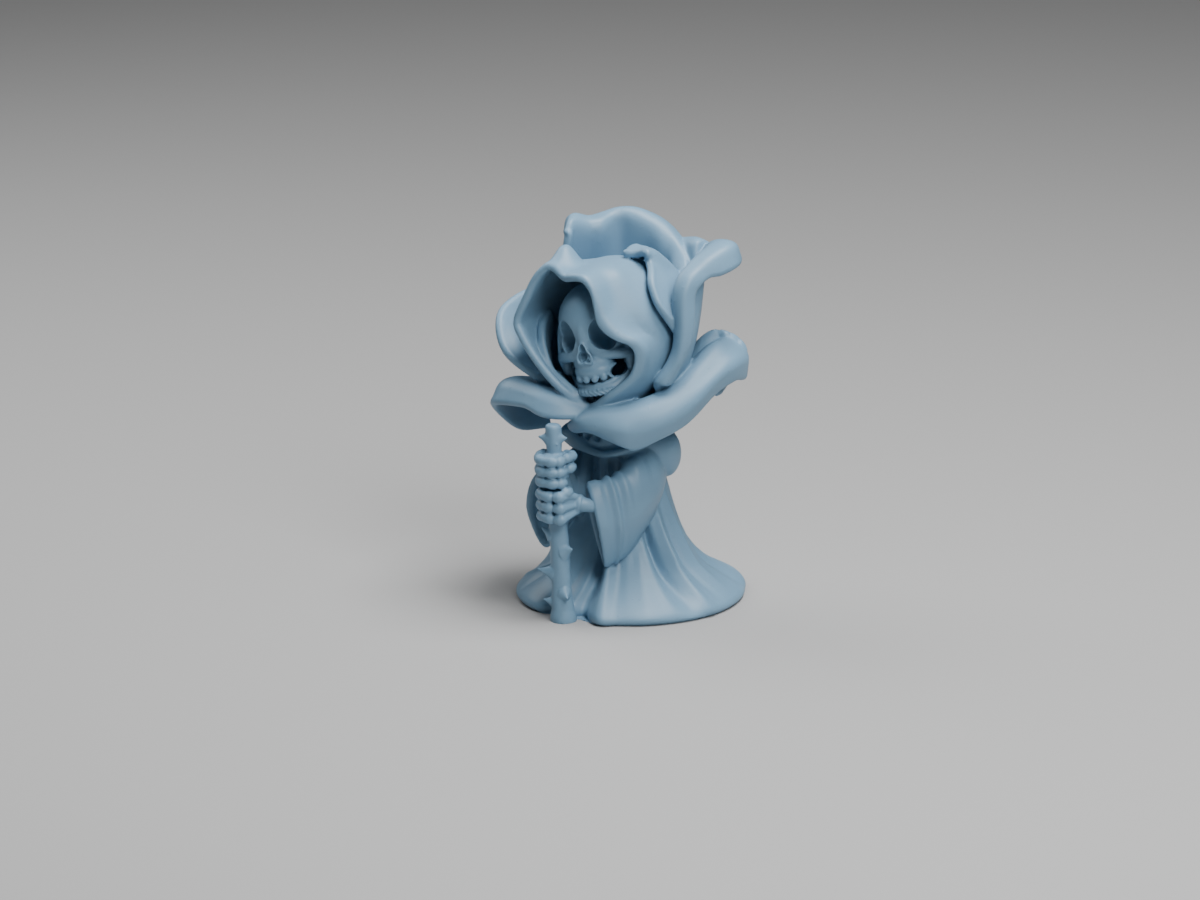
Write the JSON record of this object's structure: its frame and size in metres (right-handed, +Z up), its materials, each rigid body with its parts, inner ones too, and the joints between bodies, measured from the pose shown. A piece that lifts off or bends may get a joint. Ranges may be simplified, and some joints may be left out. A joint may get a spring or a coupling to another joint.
{
  "type": "grim reaper figurine",
  "caption": "Printed desk figurine of a hooded skeleton with a rose bloom for a hood, holding a thorny stem upright before its spreading robe.",
  "frame": {"origin": "on the flat underside, below the axis of the robe", "axes": "+Z up, the figure faces -Y, +X is towards the figure's own left hand"},
  "size_m": [0.0587, 0.0664, 0.0969],
  "materials": {
    "printed_plastic": "matte blue-grey filament with fine horizontal layer lines"
  },
  "bodies": {
    "root": {"reaper_figurine": "printed_plastic"}
  },
  "joints": []
}
